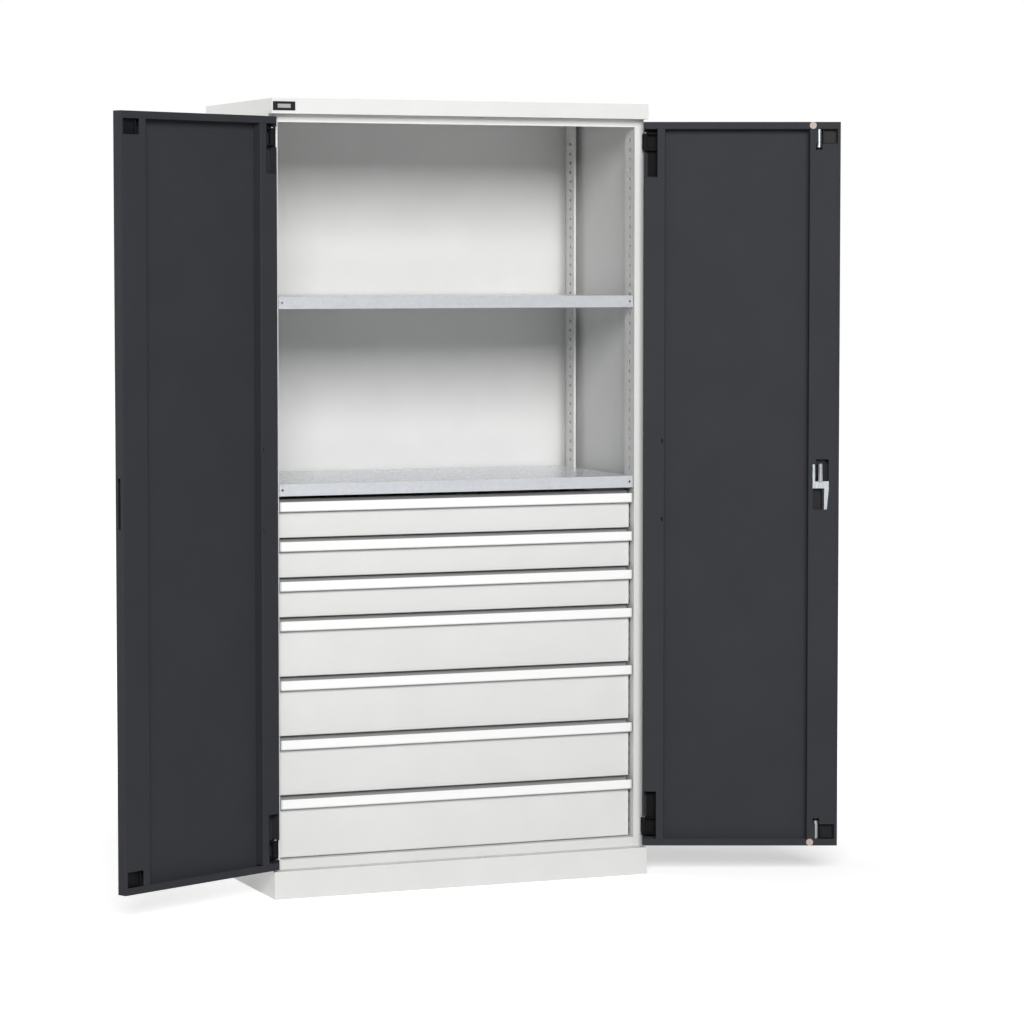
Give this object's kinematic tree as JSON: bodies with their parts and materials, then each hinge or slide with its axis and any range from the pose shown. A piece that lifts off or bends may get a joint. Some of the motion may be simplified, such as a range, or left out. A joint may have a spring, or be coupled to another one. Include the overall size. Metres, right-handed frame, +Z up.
{
  "type": "tool cabinet with doors",
  "caption": "Tall steel cabinet with hinged double doors, shelves above a stack of drawers, and an outside handle that drives two lock rods",
  "frame": {"origin": "on the floor at the middle of the cabinet's footprint, doors left out", "axes": "X along the width to the right, Y from front to back, Z up; the doors are at the -Y side"},
  "size_m": [1.9458, 0.763, 2],
  "materials": {
    "body_paint": "light grey fine-texture powder coat",
    "door_paint": "dark grey fine-texture powder coat",
    "zinc": "galvanised sheet, satin",
    "grip": "white-coated extruded strip",
    "chrome": "bright plated steel",
    "black_plastic": "black moulded plastic",
    "black_steel": "blackened steel",
    "beige_plastic": "beige moulded plastic"
  },
  "bodies": {
    "root": {"back_panel": "body_paint", "cabinet_runners": "zinc", "cap": "body_paint", "floor_panel": "body_paint", "hinge_brackets": "door_paint", "hinge_pins": "chrome", "left_side_panel": "body_paint", "lower_shelf": "zinc", "plain_plate": "black_plastic", "plinth": "body_paint", "right_side_panel": "body_paint", "roof_panel": "body_paint", "shelf_hooks": "zinc", "slotted_uprights": "body_paint", "upper_shelf": "zinc"},
    "left_door": {"left_door_free_stile": "door_paint", "left_door_hinge_leaves": "black_steel", "left_door_hinge_stile": "door_paint", "left_door_skin": "door_paint"},
    "right_door": {"right_door_buffers": "beige_plastic", "right_door_free_stile": "door_paint", "right_door_hinge_leaves": "black_steel", "right_door_hinge_stile": "door_paint", "right_door_skin": "door_paint", "lock_case": "black_plastic", "lock_bracket": "chrome", "rod_guides": "black_plastic"},
    "handle": {"door_handle": "black_plastic", "lock_cam": "chrome"},
    "key_barrel": {"key_barrel": "chrome"},
    "upper_rod": {"upper_rod": "chrome"},
    "lower_rod": {"lower_rod": "chrome"},
    "drawer_1": {"drawer_1_box": "body_paint", "drawer_1_front": "body_paint", "drawer_1_grip": "grip", "drawer_1_rails": "zinc"},
    "drawer_2": {"drawer_2_box": "body_paint", "drawer_2_front": "body_paint", "drawer_2_grip": "grip", "drawer_2_rails": "zinc"},
    "drawer_3": {"drawer_3_box": "body_paint", "drawer_3_front": "body_paint", "drawer_3_grip": "grip", "drawer_3_rails": "zinc"},
    "drawer_4": {"drawer_4_box": "body_paint", "drawer_4_front": "body_paint", "drawer_4_grip": "grip", "drawer_4_rails": "zinc"},
    "drawer_5": {"drawer_5_box": "body_paint", "drawer_5_front": "body_paint", "drawer_5_grip": "grip", "drawer_5_rails": "zinc"},
    "drawer_6": {"drawer_6_box": "body_paint", "drawer_6_front": "body_paint", "drawer_6_grip": "grip", "drawer_6_rails": "zinc"},
    "drawer_7": {"drawer_7_box": "body_paint", "drawer_7_front": "body_paint", "drawer_7_grip": "grip", "drawer_7_rails": "zinc"}
  },
  "joints": [
    {"name": "left_door_hinge", "type": "hinge", "parent": "root", "child": "left_door", "pos_m": [-0.506, -0.262, 1.015], "axis": [0, 0, -1], "range_deg": [-155, 3]},
    {"name": "right_door_hinge", "type": "hinge", "parent": "root", "child": "right_door", "pos_m": [0.506, -0.262, 1.015], "axis": [0, 0, 1], "range_deg": [-158, 0]},
    {"name": "handle_turn", "type": "hinge", "parent": "right_door", "child": "handle", "pos_m": [0.92231, -0.4302, 1.018], "axis": [0.3746, 0.9272, 0], "range_deg": [0, 90]},
    {"name": "key_turn", "type": "hinge", "parent": "handle", "child": "key_barrel", "pos_m": [0.92231, -0.4302, 1.018], "axis": [0.3746, 0.9272, 0], "range_deg": [0, 90]},
    {"name": "upper_rod_slide", "type": "slide", "parent": "right_door", "child": "upper_rod", "axis": [0, 0, 1], "range_m": [0, 0.032]},
    {"name": "lower_rod_slide", "type": "slide", "parent": "right_door", "child": "lower_rod", "axis": [0, 0, -1], "range_m": [0, 0.032]},
    {"name": "drawer_1_slide", "type": "slide", "parent": "root", "child": "drawer_1", "axis": [0, -1, 0], "range_m": [0, 0.34]},
    {"name": "drawer_2_slide", "type": "slide", "parent": "root", "child": "drawer_2", "axis": [0, -1, 0], "range_m": [0, 0.34]},
    {"name": "drawer_3_slide", "type": "slide", "parent": "root", "child": "drawer_3", "axis": [0, -1, 0], "range_m": [0, 0.34]},
    {"name": "drawer_4_slide", "type": "slide", "parent": "root", "child": "drawer_4", "axis": [0, -1, 0], "range_m": [0, 0.34]},
    {"name": "drawer_5_slide", "type": "slide", "parent": "root", "child": "drawer_5", "axis": [0, -1, 0], "range_m": [0, 0.34]},
    {"name": "drawer_6_slide", "type": "slide", "parent": "root", "child": "drawer_6", "axis": [0, -1, 0], "range_m": [0, 0.34]},
    {"name": "drawer_7_slide", "type": "slide", "parent": "root", "child": "drawer_7", "axis": [0, -1, 0], "range_m": [0, 0.34]}
  ],
  "couplings": [
    {"joint": "upper_rod_slide", "follows": "handle_turn", "m_per_rad": 0.02},
    {"joint": "lower_rod_slide", "follows": "handle_turn", "m_per_rad": 0.02}
  ]
}
